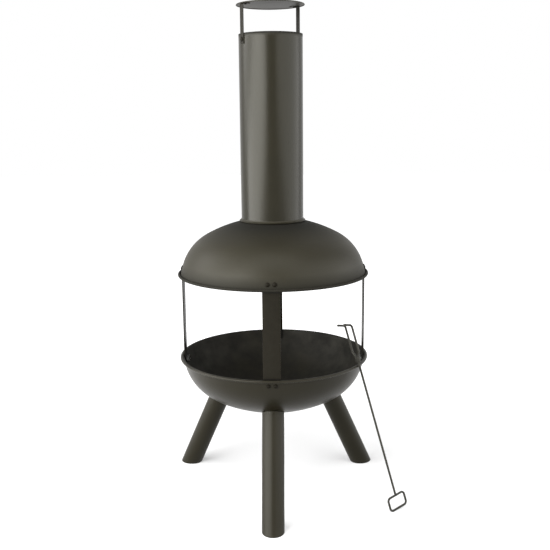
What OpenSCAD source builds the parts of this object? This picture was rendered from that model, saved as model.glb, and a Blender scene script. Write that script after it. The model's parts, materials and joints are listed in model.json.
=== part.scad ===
// Garden stove: a dished bowl on three splayed tube legs, a dished dome on four flat uprights,
// and a chimney pipe with a rain cap. The pipe slips over a neck on the dome and lifts off it.
// A two-pronged poker leans on the bowl's lip.
// Origin on the ground under the middle of the front foot, +Z up, the front towards -Y.

/* [Dished shells] */
// Diameter of bowl and dome over the curled lip
rim_d = 465; // [400:1:540]
// Thickness of the dished sheet
sheet_t = 2; // [1.5:0.1:2.5]
// Diameter of the curled lip
lip_d = 6; // [5:0.1:8]
// How far the lip stands out from the wall
lip_step = 6.6; // [6:0.1:9]
// Height of each dish from its rim to its crown
dish_h = 135; // [120:1:150]
// Slope of the wall beside the lip, from the horizontal
wall_angle = 75; // [70:1:80]
// Length of the straight wall beside the lip
wall_l = 21; // [20:1:30]
// Radius of the turn between wall and crown
knuckle_r = 118; // [95:1:125]

/* [Heights] */
// Height of the bowl's rim above the ground
bowl_rim_z = 342; // [300:1:420]
// Height of the open window between the two rims
window_h = 208; // [160:1:260]

/* [Uprights] */
// Width of each flat upright
upright_w = 40; // [34:1:50]
// Thickness of each upright
upright_t = 2.5; // [2:0.5:4]
// Distance from the rim to the bend in an upright
bend_h = 0.5; // [0:0.5:3]
// Distance from the rim to the end of an upright
tab_h = 20; // [18.5:0.5:20]
// Distance from the rim to the bolts
bolt_h = 12.5; // [12:0.5:13]
// Distance between the two bolts of a pair
bolt_pitch = 16; // [15:0.5:20]

/* [Legs] */
// How far the top of each leg lies in from the edge of the bowl's crown
leg_inset = 14.3; // [11:0.1:20]
// Outer diameter of the leg tube
leg_d = 52; // [40:1:56]
// Wall of the leg tube
leg_t = 2; // [1.5:0.5:3]
// Thickness of the closed foot
foot_t = 3; // [2:0.5:5]
// Thickness of the threaded plate in the top of a leg
plate_t = 6; // [4:0.5:10]
// Diameter of the leg bolt
leg_bolt_d = 8; // [6:1:10]
// Thickness of the washer under its head
washer_t = 1.6; // [1:0.1:3]

/* [Chimney] */
// Outer diameter of the pipe
pipe_d = 150; // [120:1:180]
// Wall of the pipe
pipe_t = 1.5; // [1:0.1:2.5]
// Length of the pipe
pipe_l = 436; // [300:1:600]
// Height of the neck inside the pipe
neck_h = 48; // [30:1:80]
// Wall of the neck
neck_t = 1.5; // [1:0.1:2.5]
// Width of the neck's flange under the dome
neck_flange_w = 12; // [8:1:20]
// Play between neck and pipe
slip_gap = 0.5; // [0.2:0.1:1]
// How far the foot flange stands out from the pipe
flange_w = 4.7; // [3:0.1:8]
// Height of the foot flange
flange_h = 7; // [5:0.5:12]

/* [Rain cap] */
// Diameter of the cap
cap_d = 160; // [158:1:220]
// Thickness of the cap
cap_t = 1.2; // [1:0.1:1.5]
// Depth of the cap's turned-down edge
cap_edge = 2.6; // [2.5:0.1:8]
// Gap between the pipe and the cap
cap_gap = 66; // [40:1:100]
// Width of a cap strap
strap_w = 15; // [14:1:24]
// Thickness of a cap strap
strap_t = 1.5; // [1:0.1:1.6]
// Length of the strap's foot under the cap
strap_foot = 18; // [15:1:30]
// Overlap of strap and pipe
strap_lap = 24; // [21:1:40]
// Direction of the right strap, the other is opposite
strap_turn = 32; // [0:1:90]

/* [Fasteners] */
// Diameter of the small bolts
bolt_d = 6; // [5:0.5:6]
// Diameter of their button heads
head_d = 10.5; // [9.5:0.5:11]
// Height of their button heads
head_h = 3.3; // [2:0.1:5]
// Diameter of the cap rivets
rivet_d = 4; // [3:0.5:5]
// Play between a shank and its hole
hole_gap = 0.3; // [0.1:0.05:0.5]
// Gap left between pieces that touch
seat_gap = 0.1; // [0.05:0.05:0.3]

/* [Poker] */
// Diameter of the poker's rod
rod_d = 5.2; // [4:0.1:7]
// Width of the loop handle, between wire centres
loop_w = 52; // [40:1:60]
// Height of the loop handle, between wire centres
loop_h = 31; // [24:1:40]
// Radius of the loop's corners
loop_r = 8; // [6:1:11]
// Tilt of the leaning poker from the vertical
poker_tilt = 16.9; // [14:0.1:20]
// Direction that the poker leans towards
poker_heading = 155.4; // [150:0.1:160]
// Turn of the poker about its own rod
poker_roll = 62; // [50:1:75]
// Place on the lip where it leans
poker_lean = -29.4; // [-35:0.1:-25]
// Distance between the two prongs
prong_gap = 24; // [22:1:36]
// Length of a prong's straight stretch
prong_l = 57; // [30:1:70]
// Length of a prong's turned tip
hook_l = 18; // [8:1:25]
// Length of a prong's weld to the rod
prong_root = 14; // [10:1:20]

/* [Hidden] */
$fn = 64;

coat = [0.33, 0.32, 0.3];
coat_dark = [0.24, 0.23, 0.21];
zinc = [0.6, 0.6, 0.6];
black_steel = [0.2, 0.2, 0.2];

// Directions, counted from +X
upright_turns = [-90, 0, 90, 180];
leg_turns = [-90, 30, 150];
strap_turns = [strap_turn, strap_turn + 180];

// The dish is a straight wall, a knuckle arc and a crown arc, each tangent to the next.
// Its rim lies at z = 0 and its crown at z = dish_h.
rim_r = rim_d / 2;
lip_r = lip_d / 2;
lip_centre = rim_r - lip_r;
wall_r = rim_r - lip_step;
wall_out = [sin(wall_angle), cos(wall_angle)];
wall_up = [-cos(wall_angle), sin(wall_angle)];
knuckle_c = [wall_r, 0] + wall_l * wall_up - knuckle_r * wall_out;
crown_r = (pow(knuckle_r, 2) - pow(knuckle_c.x, 2) - pow(knuckle_c.y - dish_h, 2))
    / (2 * (knuckle_c.y - dish_h + knuckle_r));
crown_c = dish_h - crown_r;
crown_turn = atan2(knuckle_c.y - crown_c, knuckle_c.x);
fold_r = 2.5;

dome_rim_z = bowl_rim_z + window_h;
bowl_centre_z = bowl_rim_z - crown_c;

// The legs stand square on the crown, so their axes meet at its centre. The origin lies under the
// front foot.
leg_splay = asin((crown_r * cos(crown_turn) - leg_inset) / crown_r);
foot_reach = bowl_centre_z * tan(leg_splay);

// Radius of the wall's inner face at a height above the rim, and the flat upright's place there:
// its two edges touch the round wall
function wall_in(h) = wall_r - sheet_t / sin(wall_angle) - h / tan(wall_angle);
function tab_x(h) = sqrt(pow(wall_in(h) - seat_gap, 2) - pow(upright_w / 2, 2));
tab_depth = (wall_r - bolt_h / tan(wall_angle) - tab_x(bolt_h)) * sin(wall_angle);

nut_af = 10;
nut_r = nut_af / sqrt(3);
nut_h = 5;
bolt_spare = 2;

// Heights of the dome's outer and inner faces at a radius
function dome_out(r) = dome_rim_z + crown_c + sqrt(pow(crown_r, 2) - pow(r, 2));
function dome_in(r) = dome_rim_z + crown_c + sqrt(pow(crown_r - sheet_t, 2) - pow(r, 2));

pipe_r = pipe_d / 2;
pipe_in = pipe_r - pipe_t;
neck_r = pipe_in - slip_gap;
pipe_foot_z = dome_out(pipe_in) + seat_gap;
pipe_top_z = pipe_foot_z + pipe_l;
cap_z = pipe_top_z + cap_gap;
ring_edge = 1.2;
ring_lip = 0.6;
strap_x = pipe_r + seat_gap;
strap_bolt_drop = 14;
strap_bolt_z = pipe_top_z - strap_bolt_drop;
rivet_x = strap_x - strap_foot / 2;

leg_r = leg_d / 2;
leg_in = leg_r - leg_t;
washer_r = leg_bolt_d * 1.1;
leg_nut_r = leg_bolt_d * 0.94;
washer_z = sqrt(pow(crown_r - sheet_t, 2) - pow(washer_r, 2)) - seat_gap - washer_t;
leg_nut_h = 5.3;
far = 2 * bowl_rim_z + rim_d;

// The leaning poker: its rod lies on the outside of the lip, and the lowest corner of its loop
// stands on the ground
rod_r = rod_d / 2;
rod_dir = [cos(poker_heading) * sin(poker_tilt), sin(poker_heading) * sin(poker_tilt), cos(poker_tilt)];
lip_along = [-sin(poker_lean), cos(poker_lean), 0];
lean_out = cross(lip_along, rod_dir) / norm(cross(lip_along, rod_dir));
lean_side = lean_out * [cos(poker_lean), sin(poker_lean), 0] > 0 ? 1 : -1;
lean_point = [lip_centre * cos(poker_lean), lip_centre * sin(poker_lean), bowl_rim_z]
    + lean_side * (lip_r + rod_r + seat_gap) * lean_out;
loop_drop = sin(poker_tilt) * cos(poker_roll);
loop_rise = cos(poker_tilt);
loop_z = rod_r + (loop_w / 2 - loop_r) * loop_drop - loop_r * loop_rise
    + loop_r * norm([loop_drop, loop_rise]);
lean_t = (lean_point.z - loop_z) / rod_dir.z;
poker_foot = lean_point - lean_t * rod_dir;
root_above_lip = 8;
root_t = lean_t + root_above_lip;
rod_end_t = root_t + prong_root;
prong_side = rod_d + seat_gap;
prong_bend = 35;
prong_bend_r = 10;
hook_bend = 72;
hook_bend_r = 7;
bend_lap = 2;
bend_ease = 0.02;

// Points along an arc about c, from angle a0 to angle a1
function arc(c, r, a0, a1, n) = [for (i = [0:n]) let (a = a0 + (a1 - a0) * i / n) c + r * [cos(a), sin(a)]];

// Points of the dish's wall, knuckle and crown at depth t inside its outer face, from the wall up
function dish_face(t, end_r) = concat(
    arc(knuckle_c, knuckle_r - t, 90 - wall_angle, crown_turn, 16),
    arc([0, crown_c], crown_r - t, crown_turn, acos(end_r / (crown_r - t)), 14)
);

function reversed(list) = [for (i = [len(list) - 1:-1:0]) list[i]];

// Section of a dish: the sheet folds outwards below the wall and curls into a round lip
module dish(hole_r) {
    fold_z = fold_r - lip_r;
    fold_x = (wall_r * wall_out.x - sheet_t + fold_r - fold_z * wall_out.y) / wall_out.x;
    web_z = sheet_t - lip_r;
    curl = arc([lip_centre, 0], lip_r, 180 - asin(web_z / lip_r), -90, 16);
    fold = arc([fold_x, fold_z], fold_r, 270, 270 - wall_angle, 4);
    crease = [wall_r - web_z / tan(wall_angle), web_z];
    rotate_extrude($fn = 128)
        polygon(concat([crease], curl, fold, dish_face(sheet_t, hole_r), reversed(dish_face(0, hole_r))));
}

// Places its children on the wall of one dish at one upright: z points out of the wall
module on_wall(turn, side) {
    translate([0, 0, side > 0 ? dome_rim_z : bowl_rim_z])
        rotate([0, 0, turn])
            translate([wall_r - bolt_h / tan(wall_angle), 0, side * bolt_h])
                rotate([0, side > 0 ? wall_angle : 180 - wall_angle, 0])
                    children();
}

// Repeats its children at both bolts of a pair
module bolt_pair() {
    for (s = [-1, 1]) translate([0, s * bolt_pitch / 2, 0]) children();
}

// Places its children on a leg's axis, with z running down the leg from the bowl crown's centre
module on_leg(turn) {
    translate([0, 0, bowl_centre_z]) rotate([0, 0, turn]) rotate([0, 180 - leg_splay, 0]) children();
}

// Places its children where a strap is bolted to the pipe, with z pointing out of the pipe
module on_strap(turn) {
    rotate([0, 0, turn]) translate([0, 0, strap_bolt_z]) rotate([0, 90, 0]) children();
}

// Button head with its flat face on z = 0
module button(d, h) {
    rotate_extrude() polygon(concat([[0, 0]], [for (a = [0:15:90]) [d / 2 * cos(a), h * sin(a)]]));
}

// Bolt with a button head on z = 0 and its shank below
module button_bolt(shank_l) {
    button(head_d, head_h);
    translate([0, 0, -shank_l]) cylinder(d = bolt_d, h = shank_l + head_h / 4, $fn = 32);
}

// Hex nut with its seat on z = 0 and its body below
module hex_nut() {
    translate([0, 0, -nut_h]) difference() {
        cylinder(r = nut_r, h = nut_h, $fn = 6);
        translate([0, 0, -1]) cylinder(d = bolt_d + 2 * seat_gap, h = nut_h + 2, $fn = 32);
    }
}

module bowl() {
    color(coat_dark) difference() {
        translate([0, 0, bowl_rim_z]) mirror([0, 0, 1]) dish(0);
        for (turn = upright_turns)
            on_wall(turn, -1) bolt_pair() wall_hole();
        for (turn = leg_turns)
            on_leg(turn) translate([0, 0, crown_r - 2 * sheet_t])
                cylinder(d = leg_bolt_d + 2 * hole_gap, h = 4 * sheet_t, $fn = 48);
    }
}

module wall_hole() {
    translate([0, 0, -2 * sheet_t]) cylinder(d = bolt_d + 2 * hole_gap, h = 4 * sheet_t, $fn = 32);
}

module dome() {
    color(coat) difference() {
        translate([0, 0, dome_rim_z]) dish(neck_r + hole_gap);
        for (turn = upright_turns)
            on_wall(turn, 1) bolt_pair() wall_hole();
    }
}

// The neck stands through the dome's hole, and its flange lies under the dome
module dome_neck() {
    in_r = neck_r - neck_t;
    edge_r = neck_r + neck_flange_w;
    top = dome_out(neck_r) + neck_h;
    color(coat_dark) rotate_extrude($fn = 96) polygon([
        [in_r, top], [in_r, dome_in(neck_r) - seat_gap - neck_t],
        [edge_r, dome_in(edge_r) - seat_gap - neck_t], [edge_r, dome_in(edge_r) - seat_gap],
        [neck_r, dome_in(neck_r) - seat_gap], [neck_r, top]
    ]);
}

// Side view of an upright: a straight bar whose ends lie along the sloping walls
module upright_profile() {
    inner_bend = bend_h - upright_t * tan((90 - wall_angle) / 2);
    end_in = [upright_t * wall_out.x, upright_t * wall_out.y];
    low = bowl_rim_z;
    high = dome_rim_z;
    polygon([
        [tab_x(tab_h), low - tab_h], [tab_x(bend_h), low - bend_h],
        [tab_x(bend_h), high + bend_h], [tab_x(tab_h), high + tab_h],
        [tab_x(tab_h) - end_in.x, high + tab_h - end_in.y], [tab_x(bend_h) - upright_t, high + inner_bend],
        [tab_x(bend_h) - upright_t, low - inner_bend], [tab_x(tab_h) - end_in.x, low - tab_h + end_in.y]
    ]);
}

module upright(turn) {
    color(coat_dark) difference() {
        rotate([0, 0, turn]) rotate([90, 0, 0])
            linear_extrude(height = upright_w, center = true) upright_profile();
        for (side = [-1, 1])
            on_wall(turn, side) bolt_pair()
                translate([0, 0, -tab_depth - 2 * upright_t])
                    cylinder(d = bolt_d + 2 * hole_gap, h = 3 * upright_t, $fn = 32);
    }
}

module wall_bolts(side) {
    shank = tab_depth + upright_t + nut_h + bolt_spare;
    color(black_steel) for (turn = upright_turns)
        on_wall(turn, side) bolt_pair() translate([0, 0, seat_gap]) button_bolt(shank);
}

module wall_nuts(side) {
    color(zinc) for (turn = upright_turns)
        on_wall(turn, side) bolt_pair() translate([0, 0, -tab_depth - upright_t - seat_gap]) hex_nut();
}

// Leg tube with a closed foot, cut off level with the ground
module leg(turn) {
    color(coat_dark) difference() {
        on_leg(turn) translate([0, 0, sqrt(pow(crown_r, 2) - pow(leg_in, 2)) + seat_gap])
            cylinder(r = leg_r, h = far);
        intersection() {
            on_leg(turn) cylinder(r = leg_in, h = 2 * far);
            translate([-far, -far, foot_t]) cube([2 * far, 2 * far, far]);
        }
        translate([-2 * far, -2 * far, -4 * far]) cube([4 * far, 4 * far, 4 * far]);
    }
}

module leg_plates() {
    color(zinc) for (turn = leg_turns)
        on_leg(turn) translate([0, 0, crown_r + seat_gap]) difference() {
            cylinder(r = leg_in - seat_gap, h = plate_t);
            translate([0, 0, -1]) cylinder(d = leg_bolt_d + 2 * seat_gap, h = plate_t + 2, $fn = 48);
        }
}

module leg_washers() {
    color(zinc) for (turn = leg_turns)
        on_leg(turn) translate([0, 0, washer_z]) difference() {
            cylinder(r = washer_r, h = washer_t);
            translate([0, 0, -1]) cylinder(d = leg_bolt_d + 2 * hole_gap, h = washer_t + 2, $fn = 48);
        }
}

module leg_bolts() {
    shank = crown_r + plate_t + bolt_spare - washer_z + seat_gap;
    color(zinc) for (turn = leg_turns)
        on_leg(turn) translate([0, 0, washer_z - seat_gap]) {
            translate([0, 0, -leg_nut_h]) cylinder(r = leg_nut_r, h = leg_nut_h, $fn = 6);
            translate([0, 0, -1]) cylinder(d = leg_bolt_d, h = shank + 1, $fn = 48);
        }
}

module chimney_pipe() {
    color(coat) difference() {
        translate([0, 0, pipe_foot_z]) cylinder(r = pipe_r, h = pipe_l, $fn = 96);
        translate([0, 0, pipe_foot_z - 1]) cylinder(r = pipe_in, h = pipe_l + 2, $fn = 96);
        for (turn = strap_turns)
            on_strap(turn) cylinder(d = bolt_d + 2 * hole_gap, h = pipe_d, $fn = 32);
    }
}

// Flared ring round the pipe's foot, resting on the dome
module pipe_flange() {
    in_r = pipe_r + seat_gap;
    out_r = in_r + flange_w;
    foot = dome_out(in_r) + seat_gap;
    low = dome_out(out_r) + seat_gap;
    top = foot + flange_h;
    turn_c = [out_r - ring_edge, low + ring_edge + 2 * seat_gap];
    skirt = [for (a = [0:15:90])
        [out_r - (flange_w - ring_lip) * sin(a), top - (top - low - 2 * ring_edge) * cos(a)]];
    color(coat) rotate_extrude($fn = 96)
        polygon(concat([[in_r, foot], [turn_c.x, low + 2 * seat_gap]], arc(turn_c, ring_edge, -45, 0, 3),
            skirt, [[in_r, top]]));
}

// Flat strap: its lower end lies on the pipe and its foot turns in under the cap
module cap_strap(turn) {
    bend = strap_t + 2;
    top = cap_z - seat_gap;
    out_x = strap_x + strap_t;
    side = concat(
        [[strap_x, pipe_top_z - strap_lap], [out_x, pipe_top_z - strap_lap]],
        arc([out_x - bend, top - bend], bend, 0, 90, 6),
        [[strap_x - strap_foot, top], [strap_x - strap_foot, top - strap_t]],
        arc([out_x - bend, top - bend], bend - strap_t, 90, 0, 6)
    );
    color(coat_dark) difference() {
        rotate([0, 0, turn]) rotate([90, 0, 0]) linear_extrude(height = strap_w, center = true) polygon(side);
        on_strap(turn) cylinder(d = bolt_d + 2 * hole_gap, h = pipe_d, $fn = 32);
        rotate([0, 0, turn]) translate([rivet_x, 0, cap_z - 5])
            cylinder(d = rivet_d + 2 * hole_gap, h = 10, $fn = 32);
    }
}

module strap_bolts() {
    nut_x = sqrt(pow(pipe_in, 2) - pow(nut_r, 2)) - seat_gap;
    head_x = strap_x + strap_t + seat_gap;
    color(black_steel) for (turn = strap_turns)
        on_strap(turn) translate([0, 0, head_x]) button_bolt(head_x - nut_x + nut_h + bolt_spare);
}

module strap_nuts() {
    nut_x = sqrt(pow(pipe_in, 2) - pow(nut_r, 2)) - seat_gap;
    color(zinc) for (turn = strap_turns)
        on_strap(turn) translate([0, 0, nut_x]) hex_nut();
}

// Flat disc with a turned-down edge
module rain_cap() {
    cap_r = cap_d / 2;
    bend = cap_t + 1;
    corner = [cap_r - bend, cap_z + cap_t - bend];
    low = cap_z + cap_t - cap_edge;
    color(coat) difference() {
        rotate_extrude($fn = 96) polygon(concat(
            [[0, cap_z + cap_t]], arc(corner, bend, 90, 0, 6), [[cap_r, low], [cap_r - cap_t, low]],
            arc(corner, bend - cap_t, 0, 90, 6), [[0, cap_z]]
        ));
        for (turn = strap_turns)
            rotate([0, 0, turn]) translate([rivet_x, 0, cap_z - 1])
                cylinder(d = rivet_d + 2 * hole_gap, h = cap_t + 2, $fn = 32);
    }
}

// Rivets with a round head above the cap and a formed head under the strap's foot
module cap_rivets() {
    rivet_head = 2 * rivet_d;
    head_rise = 0.45 * rivet_d;
    foot_low = cap_z - seat_gap - strap_t - seat_gap;
    cap_high = cap_z + cap_t + seat_gap;
    color(black_steel) for (turn = strap_turns)
        rotate([0, 0, turn]) translate([rivet_x, 0, 0]) {
            translate([0, 0, cap_high]) button(rivet_head, head_rise);
            translate([0, 0, foot_low - 0.5]) cylinder(d = rivet_d, h = cap_high - foot_low + 1, $fn = 32);
            translate([0, 0, foot_low]) mirror([0, 0, 1]) button(rivet_head, head_rise);
        }
}

// Places its children on the leaning poker: z runs up the rod, x towards the turned tips
module on_poker() {
    translate(poker_foot) rotate([0, 0, poker_heading]) rotate([0, poker_tilt, 0])
        rotate([0, 0, poker_roll]) children();
}

// Straight stretch of wire along z, with its children at the far end
module straight(l) {
    cylinder(r = rod_r, h = l, $fn = 32);
    translate([0, 0, l]) children();
}

// Bend of wire from z towards x, with its children at the far end. It is a hair thinner than the
// straight stretches and laps into them, so that each join is one clean edge.
module bend(r, angle) {
    translate([r, 0, 0]) rotate([90, bend_lap, 180]) rotate_extrude(angle = angle + 2 * bend_lap, $fn = 48)
        translate([r, 0]) circle(r = rod_r - bend_ease, $fn = 32);
    translate([r * (1 - cos(angle)), 0, r * sin(angle)]) rotate([0, angle, 0]) children();
}

module poker_rod() {
    start = loop_h + rod_r + seat_gap;
    color(black_steel) on_poker() translate([0, 0, start])
        cylinder(r = rod_r, h = rod_end_t - start, $fn = 32);
}

// Loop of one wire: two pairs of straight sides joined by quarter bends
module poker_handle() {
    color(black_steel) on_poker() translate([0, 0, loop_h / 2]) for (s = [0, 180])
        rotate([0, s, 0]) {
            translate([-loop_w / 2, 0, -loop_h / 2 + loop_r])
                straight(loop_h - 2 * loop_r) bend(loop_r, 90) straight(loop_w - 2 * loop_r) bend(loop_r, 90);
        }
}

// One prong: welded along the rod, it bends away and back, and its tip turns in over the bowl
module poker_prong(side) {
    spread = (prong_gap / 2 - prong_side - 2 * prong_bend_r * (1 - cos(prong_bend))) / sin(prong_bend);
    color(black_steel) on_poker() translate([0, side * prong_side, root_t]) rotate([0, 0, side * 90])
        straight(prong_root) bend(prong_bend_r, prong_bend) straight(spread) rotate([0, 0, 180])
            bend(prong_bend_r, prong_bend) rotate([0, 0, 180]) straight(prong_l)
                rotate([0, 0, -side * 90]) bend(hook_bend_r, hook_bend) straight(hook_l);
}

// The modules above are drawn about the stove's upright axis
module placed() {
    translate([0, foot_reach, 0]) children();
}

placed() bowl();
placed() dome();
placed() dome_neck();
placed() upright(upright_turns[0]);  // upright_front
placed() upright(upright_turns[1]);  // upright_right
placed() upright(upright_turns[2]);  // upright_rear
placed() upright(upright_turns[3]);  // upright_left
placed() wall_bolts(1);  // dome_bolts
placed() wall_nuts(1);  // dome_nuts
placed() wall_bolts(-1);  // bowl_bolts
placed() wall_nuts(-1);  // bowl_nuts
placed() leg(leg_turns[0]);  // leg_front
placed() leg(leg_turns[1]);  // leg_right
placed() leg(leg_turns[2]);  // leg_left
placed() leg_plates();
placed() leg_bolts();
placed() leg_washers();
placed() chimney_pipe();
placed() pipe_flange();
placed() cap_strap(strap_turns[0]);  // cap_strap_right
placed() cap_strap(strap_turns[1]);  // cap_strap_left
placed() strap_bolts();
placed() strap_nuts();
placed() rain_cap();
placed() cap_rivets();
placed() poker_rod();
placed() poker_handle();
placed() poker_prong(1);  // poker_prong_right
placed() poker_prong(-1);  // poker_prong_left
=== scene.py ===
"""Garden stove with a dished bowl and dome, flat uprights, splayed tube legs, a chimney pipe with a
rain cap, and a leaning two-pronged poker.

Every piece it builds is a surface worked out with numpy from the stove's own sizes, in metres; the
other pieces of model.glb stay, with new finishes.
"""
import json
import math

import bmesh
import bpy
import numpy as np
from mathutils import Matrix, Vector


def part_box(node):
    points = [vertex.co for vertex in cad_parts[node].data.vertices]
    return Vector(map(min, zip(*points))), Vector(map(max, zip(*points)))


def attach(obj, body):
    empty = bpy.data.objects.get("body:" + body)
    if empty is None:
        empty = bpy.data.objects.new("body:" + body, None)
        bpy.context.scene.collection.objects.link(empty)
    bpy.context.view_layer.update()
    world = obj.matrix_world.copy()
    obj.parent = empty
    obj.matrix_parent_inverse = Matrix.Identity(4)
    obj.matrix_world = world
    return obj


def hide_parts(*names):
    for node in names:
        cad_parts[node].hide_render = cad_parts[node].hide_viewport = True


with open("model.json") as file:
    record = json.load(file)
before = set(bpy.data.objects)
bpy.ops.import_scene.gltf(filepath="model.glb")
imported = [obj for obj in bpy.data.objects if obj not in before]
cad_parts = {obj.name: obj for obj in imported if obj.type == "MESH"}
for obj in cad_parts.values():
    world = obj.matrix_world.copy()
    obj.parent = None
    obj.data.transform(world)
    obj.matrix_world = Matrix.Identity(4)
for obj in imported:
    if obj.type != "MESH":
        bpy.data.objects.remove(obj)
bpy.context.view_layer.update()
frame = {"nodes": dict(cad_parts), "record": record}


# The dished shells

RIM_R = 0.2325
SHEET = 0.002
LIP_R = 0.003
LIP_REACH = 0.0066
WALL_R = RIM_R - LIP_REACH
DISH_H = 0.135
WALL_SLOPE = math.radians(75)
WALL_L = 0.021
KNUCKLE_R = 0.118
FOLD_R = 0.0025
BOWL_RIM_Z = 0.342
DOME_RIM_Z = BOWL_RIM_Z + 0.208
SEAT = 0.0001
HOLE_GAP = 0.0003
EDGE_R = 0.0004

LIP_X = RIM_R - LIP_R
wall_out = np.array([math.sin(WALL_SLOPE), math.cos(WALL_SLOPE)])
wall_up = np.array([-math.cos(WALL_SLOPE), math.sin(WALL_SLOPE)])
knuckle_c = np.array([WALL_R, 0]) + WALL_L * wall_up - KNUCKLE_R * wall_out
CROWN_R = ((KNUCKLE_R ** 2 - knuckle_c[0] ** 2 - (knuckle_c[1] - DISH_H) ** 2)
           / (2 * (knuckle_c[1] - DISH_H + KNUCKLE_R)))
CROWN_C = DISH_H - CROWN_R
CROWN_TURN = math.atan2(knuckle_c[1] - CROWN_C, knuckle_c[0])

# The uprights and their bolts

UPRIGHT_W = 0.040
UPRIGHT_T = 0.0025
UPRIGHT_BEND_R = 0.004
BEND_H = 0.0005
TAB_H = 0.020
BOLT_H = 0.0125
BOLT_PITCH = 0.016
BOLT_R = 0.003
HEAD_R = 0.00525
HEAD_H = 0.0033
NUT_H = 0.005
NUT_CORNER_R = 0.005 / math.cos(math.pi / 6)
BOLT_SPARE = 0.002
UPRIGHT_TURNS = {"front": -90, "right": 0, "rear": 90, "left": 180}

# The legs

LEG_R = 0.026
LEG_IN = LEG_R - 0.002
LEG_INSET = 0.0143
FOOT_T = 0.003
LEG_EDGE_R = 0.0008
LEG_TURNS = {"front": -90, "right": 30, "left": 150}
LEG_SPLAY = math.asin((CROWN_R * math.cos(CROWN_TURN) - LEG_INSET) / CROWN_R)
BOWL_CENTRE_Z = BOWL_RIM_Z - CROWN_C

# The chimney

PIPE_R = 0.075
PIPE_IN = PIPE_R - 0.0015
PIPE_L = 0.436
NECK_R = PIPE_IN - 0.0005
NECK_T = 0.0015
NECK_H = 0.048
NECK_FLANGE = 0.012
FLANGE_W = 0.0047
FLANGE_H = 0.007
FLANGE_GAP = 0.0028
CAP_R = 0.080
CAP_T = 0.0012
CAP_EDGE = 0.0026
CAP_BEND_R = 0.001
CAP_LIFT = 0.066
STRAP_W = 0.015
STRAP_T = 0.0015
STRAP_BEND_R = 0.00275
STRAP_FOOT = 0.018
STRAP_LAP = 0.024
STRAP_BOLT_DROP = 0.014
STRAP_TURNS = {"right": 32, "left": 212}
RIVET_R = 0.002

# The poker

ROD_R = 0.0026
WIRE_EDGE = 0.0008
LOOP_W = 0.052
LOOP_H = 0.031
LOOP_R = 0.008
POKER_TILT = math.radians(16.9)
POKER_HEADING = math.radians(155.4)
POKER_ROLL = math.radians(62)
POKER_LEAN = math.radians(-29.4)
PRONG_GAP = 0.024
PRONG_L = 0.057
PRONG_RISE = 0.008
PRONG_ROOT = 0.014
PRONG_SIDE = 2 * ROD_R + SEAT
PRONG_BEND = math.radians(35)
PRONG_BEND_R = 0.010
HOOK_L = 0.018
HOOK_BEND = math.radians(72)
HOOK_BEND_R = 0.007

# The stove's upright axis stands in the middle of the chimney pipe

pipe_low, pipe_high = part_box("chimney_pipe")
AXIS = np.array([(pipe_low[0] + pipe_high[0]) / 2, (pipe_low[1] + pipe_high[1]) / 2, 0])


def dome_out(r):
    """Height of the dome's outer face at radius r: a sphere of radius CROWN_R."""
    return DOME_RIM_Z + CROWN_C + math.sqrt(CROWN_R ** 2 - r ** 2)


def dome_in(r):
    """Height of the dome's inner face at radius r: a sphere SHEET inside the outer one."""
    return DOME_RIM_Z + CROWN_C + math.sqrt((CROWN_R - SHEET) ** 2 - r ** 2)


PIPE_FOOT_Z = dome_out(PIPE_IN) + SEAT
PIPE_TOP_Z = PIPE_FOOT_Z + PIPE_L
CAP_Z = PIPE_TOP_Z + CAP_LIFT
STRAP_X = PIPE_R + SEAT
STRAP_BOLT_Z = PIPE_TOP_Z - STRAP_BOLT_DROP
RIVET_X = STRAP_X - STRAP_FOOT / 2


def wall_in(h):
    """Radius of a dish's inner face at height h from the rim: a cone of slope WALL_SLOPE."""
    return WALL_R - SHEET / math.sin(WALL_SLOPE) - h / math.tan(WALL_SLOPE)


def tab_x(h):
    """Distance of an upright's outer face from the axis where its two edges touch the round wall."""
    return math.sqrt((wall_in(h) - SEAT) ** 2 - (UPRIGHT_W / 2) ** 2)


# Mesh makers


def arc(centre, radius, start, end, count):
    """Points centre + radius (cos a, sin a) for count angles a from start to end, in degrees."""
    a = np.radians(np.linspace(start, end, count))
    return np.stack([centre[0] + radius * np.cos(a), centre[1] + radius * np.sin(a)], 1)


def grid_faces(rows, turns, closed_rows):
    """Quads between the neighbours of a rows by turns grid that closes round its turns, and round
    its rows too where closed_rows is set."""
    i, j = np.meshgrid(np.arange(rows if closed_rows else rows - 1), np.arange(turns), indexing="ij")
    down, along = (i + 1) % rows, (j + 1) % turns
    quads = [i * turns + j, down * turns + j, down * turns + along, i * turns + along]
    return np.stack(quads, -1).reshape(-1, 4)


def stitch(grids, closed_rows, ends=()):
    """One mesh from several grids of the same shape (count, rows, turns, 3): each grid's quads, and
    a flat face over each of the rows named in ends."""
    count, rows, turns, _ = grids.shape
    one = grid_faces(rows, turns, closed_rows)
    offsets = np.arange(count) * rows * turns
    quads = (one[None] + offsets[:, None, None]).reshape(-1, 4).tolist()
    ring = np.arange(turns)
    lids = [
        (start + row % rows * turns + (ring if row else ring[::-1])).tolist()
        for start in offsets for row in ends
    ]
    return grids.reshape(-1, 3), quads + lids


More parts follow.
